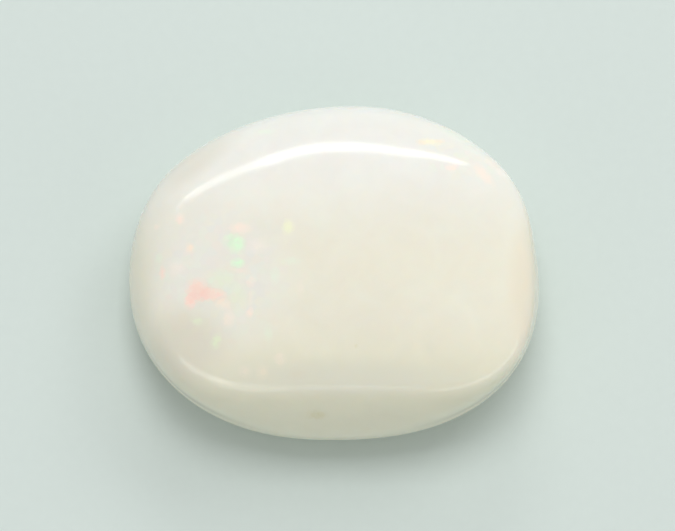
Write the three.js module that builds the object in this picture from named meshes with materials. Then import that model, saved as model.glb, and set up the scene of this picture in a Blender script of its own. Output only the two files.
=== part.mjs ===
// Polished opal cabochon: an oval cushion with a low domed face, rounded flanks and a flat back.
// Millimetres, +Z up. The origin is under the middle of the stone, on the flat back it rests on.
// Directions round the stone are degrees from +X towards +Y, so its front, -Y, is at -90.
import * as THREE from 'three';
import { ParametricGeometry } from 'three/addons/geometries/ParametricGeometry.js';

// Overall size
const LENGTH = 14.0;
const WIDTH = 11.55;
const HEIGHT = 5.2;

// Heights of the girdle, the widest ring, and of the edge between the flank and the domed face
const GIRDLE_HEIGHT = 2.1;
const EDGE_HEIGHT = 4.5;

// Shares of the girdle's outline that the flat back and the edge keep
const BACK_SHARE = 0.6;
const EDGE_SHARE = 0.915;

// Outlines seen from above are superellipses: 2 is an ellipse, more is squarer.
// The face is squarest on one side and blends to plain oval on the other.
const GIRDLE_SQUARENESS = 2.18;
const OVAL_SIDE_SQUARENESS = 1.9;
const SQUARE_SIDE_SQUARENESS = 4.42;
const SQUARE_SIDE = -102;

// Profiles seen from the side are superellipses too: 2 is round, more is a tighter bend.
// The edge of the face is a plain ridge on one side and melts into the dome on the other.
const FLANK_TIGHTNESS = 2.3;
const SOFT_EDGE_TIGHTNESS = 2.6;
const TIGHT_EDGE_TIGHTNESS = 26;
const TIGHT_SIDE = -74;

// The flank leans in from the girdle to the edge: 1 is a straight slope, more is a rounder one
const LEAN_BEND = 1.4;

// Hand grinding left the face off centre and the outline slightly uneven
const FACE_SHIFT = { x: 0.29, y: 0.62 };
const LOBES = [
  { count: 3, cosine: -0.008, sine: -0.014 },
  { count: 4, cosine: 0, sine: -0.007 },
];

// Facets: round the outline, up the flank from the back, and over the dome
const AROUND = 96;
const FLANK_RINGS = 8;
const DOME_RINGS = 40;
const RINGS = 1 + FLANK_RINGS + DOME_RINGS;

const { degToRad, lerp } = THREE.MathUtils;

// How far a direction faces one side: 1 straight towards it, 0 straight away
function facing(angle, side) {
  return (1 + Math.cos(angle - degToRad(side))) / 2;
}

// A point of a quarter superellipse, from its rim (share 0) to its pole (share 1)
function quarterArc(share, tightness) {
  const angle = share * Math.PI / 2;
  const across = Math.max(Math.cos(angle), 0);
  const along = Math.sin(angle);
  const size = (across ** tightness + along ** tightness) ** (1 / tightness);
  return { across: across / size, along: along / size };
}

// Distance from the axis to the outline in one direction
function outlineRadius(angle, squareness) {
  const x = Math.abs(Math.cos(angle) / (LENGTH / 2)) ** squareness;
  const y = Math.abs(Math.sin(angle) / (WIDTH / 2)) ** squareness;
  const uneven = LOBES.reduce((sum, lobe) => {
    const turn = lobe.count * angle;
    return sum + lobe.cosine * Math.cos(turn) + lobe.sine * Math.sin(turn);
  }, 1);
  return uneven * (x + y) ** (-1 / squareness);
}

// The flat back, then the rounded flank up to the girdle
function underside(angle, ring, target) {
  const rise = Math.max(ring - 1, 0) / FLANK_RINGS;
  const arc = quarterArc(1 - rise, FLANK_TIGHTNESS);
  const share = BACK_SHARE * Math.min(ring, 1) + (1 - BACK_SHARE) * arc.across;
  const radius = share * outlineRadius(angle, GIRDLE_SQUARENESS);
  const height = GIRDLE_HEIGHT * (1 - arc.along);
  target.set(radius * Math.cos(angle), radius * Math.sin(angle), height);
}

// The upper flank and the face, whose outline turns squarer and moves over as it rises from the girdle
function dome(angle, ring, target) {
  const rise = (ring - 1 - FLANK_RINGS) / DOME_RINGS;
  const tightness = lerp(SOFT_EDGE_TIGHTNESS, TIGHT_EDGE_TIGHTNESS, facing(angle, TIGHT_SIDE) ** 2);
  const faceSquareness = lerp(OVAL_SIDE_SQUARENESS, SQUARE_SIDE_SQUARENESS, facing(angle, SQUARE_SIDE));
  const arc = quarterArc(rise, tightness);
  const lean = arc.along ** LEAN_BEND;
  const squareness = lerp(GIRDLE_SQUARENESS, faceSquareness, lean);
  const radius = lerp(1, EDGE_SHARE, lean) * arc.across * outlineRadius(angle, squareness);
  const top = lerp(HEIGHT, EDGE_HEIGHT, arc.across ** 2);
  const x = radius * Math.cos(angle) + lean * FACE_SHIFT.x;
  const y = radius * Math.sin(angle) + lean * FACE_SHIFT.y;
  target.set(x, y, lerp(GIRDLE_HEIGHT, top, arc.along));
}

function stoneSurface(u, v, target) {
  const angle = u * 2 * Math.PI;
  const ring = v * RINGS;
  const patch = ring <= 1 + FLANK_RINGS ? underside : dome;
  patch(angle, ring, target);
}

// Centre the outline over the origin
function centred(geometry) {
  geometry.computeBoundingBox();
  const middle = geometry.boundingBox.getCenter(new THREE.Vector3());
  return geometry.translate(-middle.x, -middle.y, 0);
}

const polishedOpal = new THREE.MeshStandardMaterial({ color: '#e9e5d4', roughness: 0.15, metalness: 0 });

const stone = new THREE.Mesh(centred(new ParametricGeometry(stoneSurface, AROUND, RINGS)), polishedOpal);
stone.name = 'opal_stone';

const cabochon = new THREE.Group();
cabochon.add(stone);

export default cabochon;
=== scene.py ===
import math

import bpy
from mathutils import Matrix, Vector


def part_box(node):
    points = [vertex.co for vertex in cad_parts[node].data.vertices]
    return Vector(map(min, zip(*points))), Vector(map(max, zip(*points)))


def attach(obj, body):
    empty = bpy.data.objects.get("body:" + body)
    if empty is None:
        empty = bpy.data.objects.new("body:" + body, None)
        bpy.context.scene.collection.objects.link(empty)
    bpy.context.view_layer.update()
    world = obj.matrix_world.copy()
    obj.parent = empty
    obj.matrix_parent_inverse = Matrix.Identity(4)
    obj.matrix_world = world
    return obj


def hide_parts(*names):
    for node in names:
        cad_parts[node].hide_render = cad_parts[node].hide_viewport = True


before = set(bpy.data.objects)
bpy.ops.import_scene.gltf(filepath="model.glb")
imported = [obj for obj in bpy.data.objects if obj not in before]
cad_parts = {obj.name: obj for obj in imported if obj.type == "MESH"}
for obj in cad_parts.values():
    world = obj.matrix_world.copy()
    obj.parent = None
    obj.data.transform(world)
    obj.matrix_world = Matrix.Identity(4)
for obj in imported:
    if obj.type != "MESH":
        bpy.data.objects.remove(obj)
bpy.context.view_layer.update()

mm = 0.001  # the scene is in metres, sizes below are in millimetres
print("frame loaded:", sorted(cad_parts))


def linearColour(code):
    parts = [int(code[i:i + 2], 16) / 255 for i in (1, 3, 5)]
    return [p / 12.92 if p <= 0.04045 else ((p + 0.055) / 1.055) ** 2.4 for p in parts] + [1.0]


def addNode(tree, kind, inputs=None, **settings):
    node = tree.nodes.new(kind)
    for name, value in settings.items():
        setattr(node, name, value)
    for key, value in (inputs or {}).items():
        if isinstance(value, bpy.types.Node):
            value = next(out for out in value.outputs if out.enabled)
        if isinstance(value, bpy.types.NodeSocket):
            tree.links.new(value, node.inputs[key])
        else:
            node.inputs[key].default_value = value
    return node


# Camera: looks down on the stone's face, a long lens close to a flat view
camera = {
    "elevation": 77.0,  # degrees
    "distance": 250.0,  # mm
    "nearest": 10.0,  # mm, nothing closer is drawn
    "pixelsPerMm": 29.245,
    "frameSize": (675, 531),
    "stoneAt": (334.0, 269.4),  # pixel where the stone's centre lands
    "sensor": 36.0,  # mm
}


def makeCamera(stoneCentre):
    tilt = math.radians(camera["elevation"])
    back = Vector((0, -math.cos(tilt), math.sin(tilt)))
    up = Vector((0, math.sin(tilt), math.cos(tilt)))
    width, height = camera["frameSize"]
    right = (width / 2 - camera["stoneAt"][0]) / camera["pixelsPerMm"] * mm
    above = (camera["stoneAt"][1] - height / 2) / camera["pixelsPerMm"] * mm
    aim = stoneCentre + Vector((right, 0, 0)) + above * up
    data = bpy.data.cameras.new("photo camera")
    data.sensor_width = camera["sensor"]
    data.lens = camera["sensor"] * camera["pixelsPerMm"] * camera["distance"] / width
    data.clip_start = camera["nearest"] * mm
    seen = bpy.data.objects.new("photo camera", data)
    seen.location = aim + back * camera["distance"] * mm
    seen.rotation_euler = (-back).to_track_quat("-Z", "Y").to_euler()
    bpy.context.scene.collection.objects.link(seen)
    bpy.context.scene.camera = seen
    return seen


# Floor: matt pale grey-green card, which takes soft shadows and hardly mirrors the stone
floor = {
    "size": 1200.0,  # mm
    "colour": "#dae5e0",
    "fibre": 0.35,  # mm
    "fibreTone": 0.015,  # how far the fibres go up and down in tone
    "roughness": 0.8,
    "mirror": 0.2,  # specular level
}


def makeFloor():
    half = floor["size"] * mm / 2
    corners = [(-half, -half, 0), (half, -half, 0), (half, half, 0), (-half, half, 0)]
    mesh = bpy.data.meshes.new("floor")
    mesh.from_pydata(corners, [], [(0, 1, 2, 3)])
    plane = bpy.data.objects.new("floor", mesh)
    bpy.context.scene.collection.objects.link(plane)
    card = bpy.data.materials.new("matt grey-green card")
    card.use_nodes = True
    tree = card.node_tree
    tree.nodes.clear()
    place = addNode(tree, "ShaderNodeTexCoord").outputs["Object"]
    fibre = addNode(tree, "ShaderNodeTexNoise", {
        "Vector": place, "Scale": 1 / (floor["fibre"] * mm), "Detail": 2.0})
    shade = addNode(tree, "ShaderNodeMapRange", {
        "Value": fibre.outputs["Fac"], "To Min": 1 - floor["fibreTone"], "To Max": 1 + floor["fibreTone"]})
    tone = addNode(tree, "ShaderNodeVectorMath", {
        0: linearColour(floor["colour"])[:3], "Scale": shade}, operation="SCALE")
    surface = addNode(tree, "ShaderNodeBsdfPrincipled", {
        "Base Color": tone, "Roughness": floor["roughness"], "Specular IOR Level": floor["mirror"]})
    addNode(tree, "ShaderNodeOutputMaterial", {"Surface": surface})
    mesh.materials.append(card)


# Stone: sizes in millimetres and shape numbers as in its solid, what polishing adds, and the mesh's steps
stone = {
    "sizes": {
        "Length": 14.0,
        "Width": 11.55,
        "Height": 5.2,
        "Girdle Height": 2.1,
        "Edge Height": 4.5,
        "Face Shift X": 0.29,
        "Face Shift Y": 0.62,
        "Polish Wave": 0.012,  # how far hand polishing leaves the face off the rule
        "Polish Wave Length": 1.5,
    },
    "shape": {
        "Back Share": 0.6,
        "Edge Share": 0.915,
        "Girdle Squareness": 2.18,
        "Oval Side Squareness": 1.9,
        "Square Side Squareness": 4.42,
        "Square Side": math.radians(-102),
        "Flank Tightness": 2.3,
        "Soft Edge Tightness": 2.6,
        "Tight Edge Tightness": 26.0,
        "Tight Side": math.radians(-74),
        "Lean Bend": 1.4,
        "Girdle Softness": 0.3,  # share of the upper flank over which polishing rounds off the girdle
        "Three Lobe Cosine": -0.008,
        "Three Lobe Sine": -0.014,
        "Four Lobe Sine": -0.007,
    },
    "mesh": {
        "around": 480,
        "flankRings": 32,
        "domeRings": 150,
        "joinWithin": 0.001,  # mm, closes the seam and the poles
    },
}

# Each line of the shape rule: name, operation, terms (numbers, sockets or earlier lines)
stoneRule = [
    ("angle", "MULTIPLY", "u", math.tau),
    ("cos", "COSINE", "angle"),
    ("sin", "SINE", "angle"),
    ("backRing", "DIVIDE", "v", "backEnd"),
    ("backFill", "MINIMUM", "backRing", 1.0),
    # Quarter arc of the flank: from the back, 1, to the girdle, 0
    ("flankLeft", "SUBTRACT", "girdleEnd", "v"),
    ("flankSpan", "SUBTRACT", "girdleEnd", "backEnd"),
    ("flankShare", "DIVIDE", "flankLeft", "flankSpan"),
    ("flankLow", "MINIMUM", "flankShare", 1.0),
    ("flankClamp", "MAXIMUM", "flankLow", 0.0),
    ("flankTurn", "MULTIPLY", "flankClamp", math.pi / 2),
    ("flankCos", "COSINE", "flankTurn"),
    ("flankSin", "SINE", "flankTurn"),
    ("flankCosPower", "POWER", "flankCos", "Flank Tightness"),
    ("flankSinPower", "POWER", "flankSin", "Flank Tightness"),
    ("flankSum", "ADD", "flankCosPower", "flankSinPower"),
    ("flankRoot", "DIVIDE", 1.0, "Flank Tightness"),
    ("flankSize", "POWER", "flankSum", "flankRoot"),
    ("flankAcross", "DIVIDE", "flankCos", "flankSize"),
    ("flankAlong", "DIVIDE", "flankSin", "flankSize"),
    # Quarter arc of the dome: from the girdle, 0, to the middle of the face, 1
    ("domeDone", "SUBTRACT", "v", "girdleEnd"),
    ("domeSpan", "SUBTRACT", 1.0, "girdleEnd"),
    ("domeShare", "DIVIDE", "domeDone", "domeSpan"),
    ("domeClamp", "MAXIMUM", "domeShare", 0.0),
    ("domeTurn", "MULTIPLY", "domeClamp", math.pi / 2),
    ("tightOff", "SUBTRACT", "angle", "Tight Side"),
    ("tightCos", "COSINE", "tightOff"),
    ("tightFacing", "MULTIPLY_ADD", "tightCos", 0.5, 0.5),
    ("tightSpread", "SUBTRACT", "Tight Edge Tightness", "Soft Edge Tightness"),
    ("tightShare", "MULTIPLY", "tightFacing", "tightFacing"),
    ("tightness", "MULTIPLY_ADD", "tightShare", "tightSpread", "Soft Edge Tightness"),
    ("domeCos", "COSINE", "domeTurn"),
    ("domeSin", "SINE", "domeTurn"),
    ("domeCosPower", "POWER", "domeCos", "tightness"),
    ("domeSinPower", "POWER", "domeSin", "tightness"),
    ("domeSum", "ADD", "domeCosPower", "domeSinPower"),
    ("domeRoot", "DIVIDE", 1.0, "tightness"),
    ("domeSize", "POWER", "domeSum", "domeRoot"),
    ("domeAcross", "DIVIDE", "domeCos", "domeSize"),
    ("domeAlong", "DIVIDE", "domeSin", "domeSize"),
    # Lean of the upper flank, which starts softly so that the girdle isn't a crease
    ("leanHalf", "MULTIPLY", "Lean Bend", 0.5),
    ("softSquare", "MULTIPLY", "Girdle Softness", "Girdle Softness"),
    ("leanSquare", "MULTIPLY_ADD", "domeAlong", "domeAlong", "softSquare"),
    ("endSquare", "ADD", "softSquare", 1.0),
    ("leanRaw", "POWER", "leanSquare", "leanHalf"),
    ("leanStart", "POWER", "softSquare", "leanHalf"),
    ("leanEnd", "POWER", "endSquare", "leanHalf"),
    ("leanRise", "SUBTRACT", "leanRaw", "leanStart"),
    ("leanSpan", "SUBTRACT", "leanEnd", "leanStart"),
    ("lean", "DIVIDE", "leanRise", "leanSpan"),
    ("edgeLoss", "SUBTRACT", "Edge Share", 1.0),
    ("leanShare", "MULTIPLY_ADD", "lean", "edgeLoss", 1.0),
    # Outline, from the oval girdle to the squarer face
    ("squareOff", "SUBTRACT", "angle", "Square Side"),
    ("squareCos", "COSINE", "squareOff"),
    ("squareFacing", "MULTIPLY_ADD", "squareCos", 0.5, 0.5),
    ("squareSpread", "SUBTRACT", "Square Side Squareness", "Oval Side Squareness"),
    ("faceSquareness", "MULTIPLY_ADD", "squareFacing", "squareSpread", "Oval Side Squareness"),
    ("faceExtra", "SUBTRACT", "faceSquareness", "Girdle Squareness"),
    ("squareness", "MULTIPLY_ADD", "lean", "faceExtra", "Girdle Squareness"),
    ("halfLength", "MULTIPLY", "Length", 0.5),
    ("halfWidth", "MULTIPLY", "Width", 0.5),
    ("reachX", "DIVIDE", "cos", "halfLength"),
    ("reachY", "DIVIDE", "sin", "halfWidth"),
    ("sizeX", "ABSOLUTE", "reachX"),
    ("sizeY", "ABSOLUTE", "reachY"),
    ("powerX", "POWER", "sizeX", "squareness"),
    ("powerY", "POWER", "sizeY", "squareness"),
    ("powerSum", "ADD", "powerX", "powerY"),
    ("rootPower", "DIVIDE", -1.0, "squareness"),
    ("evenRadius", "POWER", "powerSum", "rootPower"),
    ("threeTurn", "MULTIPLY", "angle", 3.0),
    ("fourTurn", "MULTIPLY", "angle", 4.0),
    ("threeCos", "COSINE", "threeTurn"),
    ("threeSin", "SINE", "threeTurn"),
    ("fourSin", "SINE", "fourTurn"),
    ("lobeA", "MULTIPLY_ADD", "threeCos", "Three Lobe Cosine", 1.0),
    ("lobeB", "MULTIPLY_ADD", "threeSin", "Three Lobe Sine", "lobeA"),
    ("uneven", "MULTIPLY_ADD", "fourSin", "Four Lobe Sine", "lobeB"),
    ("outline", "MULTIPLY", "evenRadius", "uneven"),
    # Place of each point
    ("flankPart", "SUBTRACT", 1.0, "Back Share"),
    ("flankRadius", "MULTIPLY", "flankPart", "flankAcross"),
    ("underRadius", "MULTIPLY_ADD", "Back Share", "backFill", "flankRadius"),
    ("sectionRadius", "MULTIPLY", "underRadius", "domeAcross"),
    ("leaningRadius", "MULTIPLY", "sectionRadius", "leanShare"),
    ("radius", "MULTIPLY", "leaningRadius", "outline"),
    ("shiftX", "MULTIPLY", "lean", "Face Shift X"),
    ("shiftY", "MULTIPLY", "lean", "Face Shift Y"),
    ("x", "MULTIPLY_ADD", "radius", "cos", "shiftX"),
    ("y", "MULTIPLY_ADD", "radius", "sin", "shiftY"),
    ("flankLeftOver", "SUBTRACT", 1.0, "flankAlong"),
    ("underHeight", "MULTIPLY", "Girdle Height", "flankLeftOver"),
    ("crown", "SUBTRACT", "Height", "Edge Height"),
    ("acrossSquare", "MULTIPLY", "domeAcross", "domeAcross"),
    ("crownLoss", "MULTIPLY", "acrossSquare", "crown"),
    ("topHeight", "SUBTRACT", "Height", "crownLoss"),
    ("domeRoom", "SUBTRACT", "topHeight", "Girdle Height"),
    ("z", "MULTIPLY_ADD", "domeRoom", "domeAlong", "underHeight"),
    # Slight waves left by hand polishing on the face
    ("waveReach", "MULTIPLY", "lean", "Polish Wave"),
    ("waveScale", "DIVIDE", 1.0, "Polish Wave Length"),
]


def makeStoneTree(material):
    tree = bpy.data.node_groups.new("cabochon", "GeometryNodeTree")
    tree.interface.new_socket("Geometry", in_out="OUTPUT", socket_type="NodeSocketGeometry")
    sockets = {}
    for name in [*stone["sizes"], *stone["shape"]]:
        sockets[name] = tree.interface.new_socket(name, in_out="INPUT", socket_type="NodeSocketFloat")
    sizes = addNode(tree, "NodeGroupInput")
    steps = stone["mesh"]
    rings = 1 + steps["flankRings"] + steps["domeRings"]
    grid = addNode(tree, "GeometryNodeMeshGrid", {
        "Size X": 1.0, "Size Y": 1.0, "Vertices X": steps["around"] + 1, "Vertices Y": rings + 1})
    corner = addNode(tree, "ShaderNodeVectorMath", {
        0: addNode(tree, "GeometryNodeInputPosition"), 1: (0.5, 0.5, 0)})
    split = addNode(tree, "ShaderNodeSeparateXYZ", {0: corner})
    known = {name: sizes.outputs[name] for name in sockets}
    known.update(u=split.outputs["X"], v=split.outputs["Y"])
    known.update(backEnd=1 / rings, girdleEnd=(1 + steps["flankRings"]) / rings)
    for name, operation, *terms in stoneRule:
        known[name] = addNode(
            tree, "ShaderNodeMath", {i: known.get(t, t) for i, t in enumerate(terms)}, operation=operation)
    point = addNode(tree, "ShaderNodeCombineXYZ", {"X": known["x"], "Y": known["y"], "Z": known["z"]})
    kept = addNode(tree, "GeometryNodeCaptureAttribute", {"Geometry": grid})
    kept.capture_items.new("FLOAT", "wave reach")
    tree.links.new(known["waveReach"].outputs[0], kept.inputs["wave reach"])
    shaped = addNode(tree, "GeometryNodeSetPosition", {
        "Geometry": kept.outputs["Geometry"], "Position": point})
    closed = addNode(tree, "GeometryNodeMergeByDistance", {
        "Geometry": shaped, "Distance": steps["joinWithin"] * mm})
    ripple = addNode(tree, "ShaderNodeTexNoise", {"Scale": known["waveScale"], "Detail": 0.0})
    swing = addNode(tree, "ShaderNodeMath", {0: ripple.outputs["Fac"], 1: 0.5}, operation="SUBTRACT")
    reach = addNode(tree, "ShaderNodeMath", {0: swing, 1: kept.outputs["wave reach"]}, operation="MULTIPLY")
    off = addNode(tree, "ShaderNodeVectorMath", {
        0: addNode(tree, "GeometryNodeInputNormal"), "Scale": reach}, operation="SCALE")
    polished = addNode(tree, "GeometryNodeSetPosition", {"Geometry": closed, "Offset": off})
    box = addNode(tree, "GeometryNodeBoundBox", {"Geometry": polished})
    spread = addNode(tree, "ShaderNodeVectorMath", {0: box.outputs["Min"], 1: box.outputs["Max"]})
    centring = addNode(tree, "ShaderNodeVectorMath", {0: spread, 1: (-0.5, -0.5, 0)}, operation="MULTIPLY")
    centred = addNode(tree, "GeometryNodeSetPosition", {"Geometry": polished, "Offset": centring})
    smooth = addNode(tree, "GeometryNodeSetShadeSmooth", {"Geometry": centred})
    whole = addNode(tree, "GeometryNodeRealizeInstances", {"Geometry": smooth})
    dressed = addNode(tree, "GeometryNodeSetMaterial", {"Geometry": whole, "Material": material})
    addNode(tree, "NodeGroupOutput", {"Geometry": dressed})
    return tree, sockets


def makeStone(material):
    tree, sockets = makeStoneTree(material)
    rule = bpy.data.objects.new("opal.rule", bpy.data.meshes.new("opal.rule"))
    bpy.context.scene.collection.objects.link(rule)
    modifier = rule.modifiers.new("cabochon", "NODES")
    modifier.node_group = tree
    for name, value in stone["sizes"].items():
        modifier[sockets[name].identifier] = value * mm
    for name, value in stone["shape"].items():
        modifier[sockets[name].identifier] = value
    evaluated = rule.evaluated_get(bpy.context.evaluated_depsgraph_get())
    piece = bpy.data.objects.new("opal", bpy.data.meshes.new_from_object(evaluated))
    bpy.context.scene.collection.objects.link(piece)
    bpy.data.objects.remove(rule)
    print("stone mesh:", len(piece.data.vertices), "points,", len(piece.data.polygons), "faces")
    return piece


# White opal, polished: milky, so light goes a little way in and comes out softly, under a glassy surface
opal = {
    "middle": "#f6f2e2",  # cream over most of the face
    "back": "#f6f5ee",  # whiter towards the far side
    "backFade": (-0.5, 4.0),  # mm along Y from where it starts to where it is full
    "front": "#efedd9",  # a little yellower and darker on the near flank: painted shade of the side turned from the light
    "frontFade": (-2.0, -4.4),
    "milk": "#f4f3ea",  # cooler milk round the fire
    "milkStrength": 0.8,
    "curdle": 0.018,  # how far the curdled clouds go up and down in tone
    "curdleSize": 1.3,  # mm
    "curdleDetail": 4.0,  # how many times finer clouds are laid in
    "curdleStir": 0.6,  # how far the clouds are drawn out of shape
    "curdleRange": (0.3, 0.7),  # values of the clouds that count as thin and thick
    "scatter": (0.85, 0.75, 0.65),  # mm that red, green and blue light travel inside
    "ior": 1.45,
    "polish": 0.11,  # roughness of the face
    "satin": 0.27,  # roughness of the flat back and the flank next to it
    "polishFade": (1.4, 4.3),  # mm up from where the satin starts to turn to where the polish is full
    "paintedFireGlow": 0.16,  # share of the fire's colour painted on as glow, on top of the milk
    "grain": 0.13,  # mm, the cells that give each patch of fire its uneven edge
    "grainPull": 0.55,  # how far a patch follows the cells
    "flicker": 0.6,  # least share of its colour that a patch has in a cell
    "pinfire": 0.28,  # mm, the cells of the faint colour between the patches
    "pinfireDepth": 0.035,  # how far a cell's tint may go
    "cellBlend": 0.5,  # how softly the cells run into each other
    # Shares of its half size between which a zone or a patch fades, and how deep a patch goes in mm
    "milkEdge": (0.35, 1.0),
    "toneEdge": (0.2, 1.0),
    "patchEdge": (0.1, 1.45),
    "patchDepth": 0.6,
    # Where the milk and the fire lie: pixel at the middle, half sizes in mm
    "milkZones": [
        {"pixel": (215, 275), "half": (3.4, 3.4, 2.6)},
        {"pixel": (465, 160), "half": (2.2, 1.3, 2.0)},
    ],
    # Painted shade laid into the body colour: colour, pixel at the middle, half sizes in mm, turn in
    # degrees
    "paintedShadeTones": [
        ("#e8e5d6", (184, 345), (2.2, 2.0, 1.8), 0),  # painted shade, greyer towards the near left
        ("#ece9de", (196, 160), (2.4, 0.9, 2.0), 40),  # painted shade, creamier along the far left
        ("#faf1e0", (137, 285), (0.8, 3.0, 2.5), 0),  # painted warm shade at the left end
        ("#f3ebd9", (530, 300), (1.0, 3.8, 3.0), 0),  # and at the right end, also painted warm shade
        ("#e9e8d8", (335, 379), (6.2, 1.1, 0.5), 0),  # painted shade, greyer just behind the near edge
    ],
    "fireColours": {
        "coral": "#fdd5c9",
        "orange": "#f4e4d2",
        "yellow": "#eef0cf",
        "amber": "#f6ecd0",
        "green": "#d9f5d4",
        "leaf": "#dfe9cd",
        "teal": "#e0ecda",
        "pink": "#f4e4d8",
        "lilac": "#eee6de",
    },
    # Patches of fire: colour, pixel at the middle, half length and half width in mm, turn in degrees
    # and how full the colour is
    "patches": [
        ("coral", (198, 290), (0.42, 0.36), -20, 1.0),
        ("coral", (210, 294), (0.55, 0.24), -8, 1.0),
        ("coral", (191, 300), (0.22, 0.28), -15, 0.95),
        ("orange", (223, 303), (0.36, 0.2), -25, 0.75),
        ("green", (237, 244), (0.28, 0.33), 0, 1.0),
        ("green", (229, 240), (0.24, 0.3), 0, 0.4),
        ("green", (238, 263), (0.24, 0.18), 0, 0.95),
        ("leaf", (221, 279), (0.5, 0.38), 20, 0.6),
        ("leaf", (238, 297), (0.34, 0.5), 0, 0.5),
        ("orange", (236, 270), (0.4, 0.12), -10, 0.45),
        ("yellow", (288, 227), (0.2, 0.26), 0, 0.9),
        ("pink", (240, 228), (0.4, 0.22), 0, 0.9),
        ("pink", (180, 219), (0.14, 0.22), 0, 1.0),
        ("orange", (190, 248), (0.14, 0.19), 0, 0.9),
        ("coral", (162, 273), (0.1, 0.25), 5, 0.75),
        ("pink", (157, 227), (0.15, 0.11), 0, 0.5),
        ("pink", (251, 281), (0.16, 0.2), -20, 0.6),
        ("pink", (250, 297), (0.1, 0.34), 0, 0.35),
        ("pink", (250, 312), (0.11, 0.22), 0, 0.75),
        ("pink", (229, 318), (0.2, 0.32), -10, 0.6),
        ("lilac", (177, 268), (0.3, 0.3), 0, 0.6),
        ("lilac", (256, 246), (0.4, 0.3), 0, 0.6),
        ("teal", (275, 276), (0.18, 0.3), 0, 0.6),
        ("teal", (290, 261), (0.3, 0.14), 0, 0.55),
        ("teal", (159, 258), (0.14, 0.2), 0, 0.5),
        ("pink", (300, 288), (0.15, 0.26), 0, 0.35),
        ("leaf", (216, 341), (0.16, 0.3), -15, 0.75),
        ("teal", (268, 334), (0.15, 0.32), 0, 0.5),
        ("leaf", (197, 321), (0.22, 0.15), 0, 0.6),
        ("pink", (280, 359), (0.2, 0.22), 0, 0.5),
        ("orange", (262, 372), (0.22, 0.26), 0, 0.35),
        ("pink", (245, 371), (0.24, 0.2), 0, 0.3),
        ("amber", (430, 142), (0.42, 0.15), 0, 0.9),
        ("orange", (421, 143), (0.18, 0.12), 0, 0.5),
        ("orange", (440, 141), (0.18, 0.12), 0, 0.5),
        ("teal", (459, 136), (0.9, 0.26), -28, 0.6),
        ("pink", (452, 168), (0.22, 0.14), 0, 0.8),
        ("pink", (483, 174), (0.5, 0.2), -50, 0.85),
        ("pink", (493, 163), (0.3, 0.2), -40, 0.55),
        ("lilac", (502, 172), (0.3, 0.24), -40, 0.7),
        ("teal", (265, 132), (0.36, 0.16), 0, 0.5),
    ],
    # Small stains in the surface, told like the patches
    "stains": [
        ("#e6e1c0", (317, 415), (0.34, 0.12), 0, 0.8),
        ("#e6e1c0", (356, 346), (0.06, 0.06), 0, 0.7),
        ("#e8dfca", (297, 375), (0.4, 0.24), 0, 0.25),
    ],
}


# The point of the stone that shows at a pixel of the frame
def sighted(piece, eye, pixel):
    width, height = camera["frameSize"]
    perPixel = camera["sensor"] / width / eye.data.lens
    ray = Vector(((pixel[0] - width / 2) * perPixel, (height / 2 - pixel[1]) * perPixel, -1))
    turned = eye.rotation_euler.to_matrix() @ ray
    return piece.ray_cast(eye.location, turned.normalized())[1]


# 1 in the middle of a turned oval round a point of the stone, falling to 0 between two shares of its size
def ovalMask(tree, place, middle, half, turn, edges):
    local = addNode(tree, "ShaderNodeMapping", {
        "Vector": place, "Location": middle, "Rotation": (0, 0, math.radians(turn)),
        "Scale": [h * mm for h in half]}, vector_type="TEXTURE")
    far = addNode(tree, "ShaderNodeVectorMath", {0: local}, operation="LENGTH").outputs["Value"]
    return addNode(tree, "ShaderNodeMapRange", {
        "Value": far, "From Min": edges[0], "From Max": edges[1], "To Min": 1.0, "To Max": 0.0},
        interpolation_type="SMOOTHSTEP")


def makeOpal():
    material = bpy.data.materials.new("polished white opal")
    material.use_nodes = True
    material.node_tree.nodes.clear()
    return material


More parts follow.
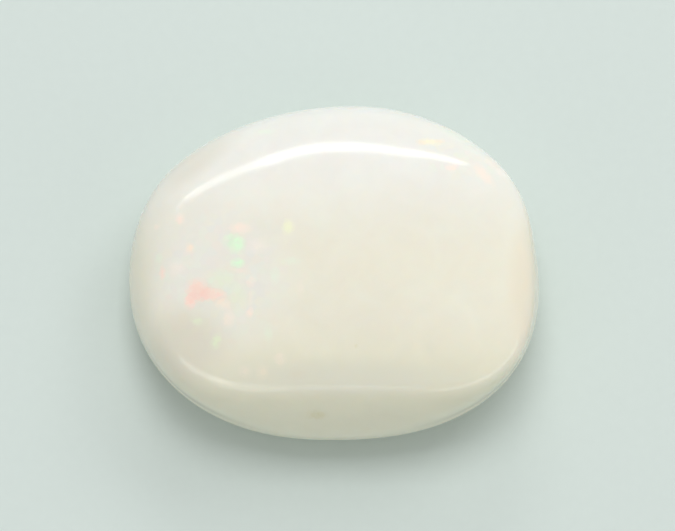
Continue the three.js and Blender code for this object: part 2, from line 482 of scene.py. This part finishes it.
# Inputs 0, 6 and 7 of each Mix node are the share, the first colour or place and the second one
def dressOpal(material, piece, eye):
    tree = material.node_tree
    place = addNode(tree, "ShaderNodeTexCoord").outputs["Object"]
    # Body: cream, whiter behind, yellower in front as painted shade, faintly curdled, cooler and milkier
    # round the fire
    along = addNode(tree, "ShaderNodeSeparateXYZ", {0: place})
    colour = linearColour(opal["middle"])
    # The far side is made whiter, and the near flank yellower and darker as painted shade
    for name in ("back", "front"):
        start, full = opal[name + "Fade"]
        share = addNode(tree, "ShaderNodeMapRange", {
            "Value": along.outputs["Y"], "From Min": start * mm, "From Max": full * mm},
            interpolation_type="SMOOTHSTEP")
        colour = addNode(tree, "ShaderNodeMix", {
            0: share, 6: colour, 7: linearColour(opal[name])}, data_type="RGBA")
    clouds = addNode(tree, "ShaderNodeTexNoise", {
        "Vector": place, "Scale": 1 / (opal["curdleSize"] * mm),
        "Detail": opal["curdleDetail"], "Distortion": opal["curdleStir"]})
    thin, thick = opal["curdleRange"]
    cloudy = addNode(tree, "ShaderNodeMapRange", {
        "Value": clouds.outputs["Fac"], "From Min": thin, "From Max": thick,
        "To Min": 1 - opal["curdle"], "To Max": 1 + opal["curdle"]})
    colour = addNode(tree, "ShaderNodeVectorMath", {0: colour, "Scale": cloudy}, operation="SCALE")
    zone = 0.0
    for milk in opal["milkZones"]:
        spot = sighted(piece, eye, milk["pixel"])
        mask = ovalMask(tree, place, spot, milk["half"], 0, opal["milkEdge"])
        zone = addNode(tree, "ShaderNodeMath", {0: zone, 1: mask}, operation="MAXIMUM")
    milky = addNode(tree, "ShaderNodeMath", {0: zone, 1: opal["milkStrength"]}, operation="MULTIPLY")
    colour = addNode(tree, "ShaderNodeMix", {
        0: milky, 6: colour, 7: linearColour(opal["milk"])}, data_type="RGBA")
    # Painted shade: soft zones of the body made darker, greyer or warmer where less light falls
    for tone, pixel, half, turn in opal["paintedShadeTones"]:
        mask = ovalMask(tree, place, sighted(piece, eye, pixel), half, turn, opal["toneEdge"])
        colour = addNode(tree, "ShaderNodeMix", {
            0: mask, 6: colour, 7: linearColour(tone)}, data_type="RGBA")
    # Pinfire: each cell takes its own faint tint
    cells = addNode(tree, "ShaderNodeTexVoronoi", {
        "Vector": place, "Scale": 1 / (opal["pinfire"] * mm), "Smoothness": opal["cellBlend"]},
        feature="SMOOTH_F1")
    centred = addNode(tree, "ShaderNodeVectorMath", {
        0: cells.outputs["Color"], 1: (0.5, 0.5, 0.5)}, operation="SUBTRACT")
    depth = addNode(tree, "ShaderNodeMath", {0: zone, 1: opal["pinfireDepth"]}, operation="MULTIPLY")
    faint = addNode(tree, "ShaderNodeVectorMath", {0: centred, "Scale": depth}, operation="SCALE")
    gain = addNode(tree, "ShaderNodeVectorMath", {0: faint, 1: (1, 1, 1)}, operation="ADD")
    colour = addNode(tree, "ShaderNodeVectorMath", {0: colour, 1: gain}, operation="MULTIPLY")
    # Patches: ovals read through small cells, so that their edges are uneven
    grain = addNode(tree, "ShaderNodeTexVoronoi", {
        "Vector": place, "Scale": 1 / (opal["grain"] * mm), "Smoothness": opal["cellBlend"]},
        feature="SMOOTH_F1")
    pulled = addNode(tree, "ShaderNodeMix", {
        0: opal["grainPull"], 6: place, 7: grain.outputs["Position"]}, data_type="RGBA")
    flicker = addNode(tree, "ShaderNodeSeparateXYZ", {0: grain.outputs["Color"]})
    fire = 0.0
    fires = [(opal["fireColours"][name], *rest) for name, *rest in opal["patches"]]
    for number, (tint, pixel, half, turn, fullness) in enumerate(fires + opal["stains"]):
        size = (*half, opal["patchDepth"])
        mask = ovalMask(tree, pulled, sighted(piece, eye, pixel), size, turn, opal["patchEdge"])
        uneven = addNode(tree, "ShaderNodeMapRange", {
            "Value": flicker.outputs["X"], "To Min": opal["flicker"] * fullness, "To Max": fullness})
        amount = addNode(tree, "ShaderNodeMath", {0: mask, 1: uneven}, operation="MULTIPLY")
        colour = addNode(tree, "ShaderNodeMix", {
            0: amount, 6: colour, 7: linearColour(tint)}, data_type="RGBA")
        if number < len(fires):  # the stains after them don't glow
            fire = addNode(tree, "ShaderNodeMath", {0: fire, 1: amount}, operation="MAXIMUM")
    # Painted glow: the fire patches give out their own colour as light, though the stone is no lamp
    glow = addNode(tree, "ShaderNodeVectorMath", {0: colour, "Scale": fire}, operation="SCALE")
    # The face is polished, the flank turns satin towards the back
    start, full = opal["polishFade"]
    roughness = addNode(tree, "ShaderNodeMapRange", {
        "Value": along.outputs["Z"], "From Min": start * mm, "From Max": full * mm,
        "To Min": opal["satin"], "To Max": opal["polish"]}, interpolation_type="SMOOTHSTEP")
    surface = addNode(tree, "ShaderNodeBsdfPrincipled", {
        "Base Color": colour,
        "Roughness": roughness,
        "IOR": opal["ior"],
        "Subsurface Weight": 1.0,
        "Subsurface Radius": opal["scatter"],
        "Subsurface Scale": mm,
        # painted glow of the fire patches
        "Emission Color": glow,
        "Emission Strength": opal["paintedFireGlow"],
    })
    addNode(tree, "ShaderNodeOutputMaterial", {"Surface": surface})
    print("patches of fire:", len(fires), "and stains:", len(opal["stains"]))


# Lights: where each stands (degrees round from the back towards the right, and up), how far away and how
# large it is in mm, and its roll in degrees.
# A soft lamp has its share of the light on the floor and doesn't show in the polish.
# A strip shows only in the polish, with its own brightness.
lamps = {
    "top key": {"around": 0, "up": 75, "away": 300, "size": (120, 120), "share": 0.31},
    "back box": {"around": 0, "up": 35, "away": 300, "size": (120, 120), "share": 0.072},
    "right box": {"around": 45, "up": 45, "away": 300, "size": (120, 120), "share": 0.092},
    "front left box": {"around": -135, "up": 35, "away": 300, "size": (120, 120), "share": 0.015},
    "front right box": {"around": 135, "up": 35, "away": 300, "size": (120, 120), "share": 0.02},
    "back end strip": {"around": -46, "up": 26, "away": 200, "size": (44, 12), "roll": 5, "glow": 2.2},
    "back left strip": {"around": -29, "up": 27, "away": 200, "size": (104, 24), "roll": 6, "glow": 3.4},
    "back right strip": {"around": 4, "up": 27, "away": 200, "size": (124, 30), "roll": -5, "glow": 5.0},
    "front strip": {"around": 180, "up": 46, "away": 200, "size": (100, 42), "glow": 0.3},
    "front near strip": {"around": -163, "up": 45, "away": 200, "size": (78, 90), "glow": 1.6},
    "front left strip": {"around": -132, "up": 48, "away": 200, "size": (130, 44), "roll": 20, "glow": 2.2},
    "front right strip": {"around": 134, "up": 40, "away": 200, "size": (236, 44), "roll": -5, "glow": 1.9},
}
room = {"colour": "#ffffff", "strength": 0.46}


def makeLights(target):
    for name, lamp in lamps.items():
        around, up = math.radians(lamp["around"]), math.radians(lamp["up"])
        side = Vector((math.sin(around) * math.cos(up), math.cos(around) * math.cos(up), math.sin(up)))
        data = bpy.data.lights.new(name, "AREA")
        data.shape = "RECTANGLE"
        data.size, data.size_y = (s * mm for s in lamp["size"])
        holder = bpy.data.objects.new(name, data)
        facing = (-side).to_track_quat("-Z", "Y").to_matrix()
        facing = facing @ Matrix.Rotation(math.radians(lamp.get("roll", 0)), 3, "Z")
        holder.rotation_euler = facing.to_euler()
        holder.location = target + side * lamp["away"] * mm
        if "share" in lamp:
            data.energy = lamp["share"] * (math.pi * lamp["away"] * mm) ** 2 / math.sin(up)
            holder.visible_glossy = False
        else:
            data.energy = lamp["glow"] * math.pi * data.size * data.size_y
            holder.visible_diffuse = False
        holder.visible_camera = False
        bpy.context.scene.collection.objects.link(holder)
    world = bpy.data.worlds.new("pale room")
    world.use_nodes = True
    tree = world.node_tree
    tree.nodes.clear()
    sky = addNode(tree, "ShaderNodeBackground", {
        "Color": linearColour(room["colour"]), "Strength": room["strength"]})
    addNode(tree, "ShaderNodeOutputWorld", {"Surface": sky})
    bpy.context.scene.world = world


low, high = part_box("opal_stone")
middle = (low + high) / 2
bpy.context.scene.view_settings.view_transform = "Standard"
eye = makeCamera(middle)
makeFloor()
makeLights(middle)
print("camera, floor and lights made")

material = makeOpal()
cabochon = makeStone(material)
dressOpal(material, cabochon, eye)
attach(cabochon, "root")
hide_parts("opal_stone")
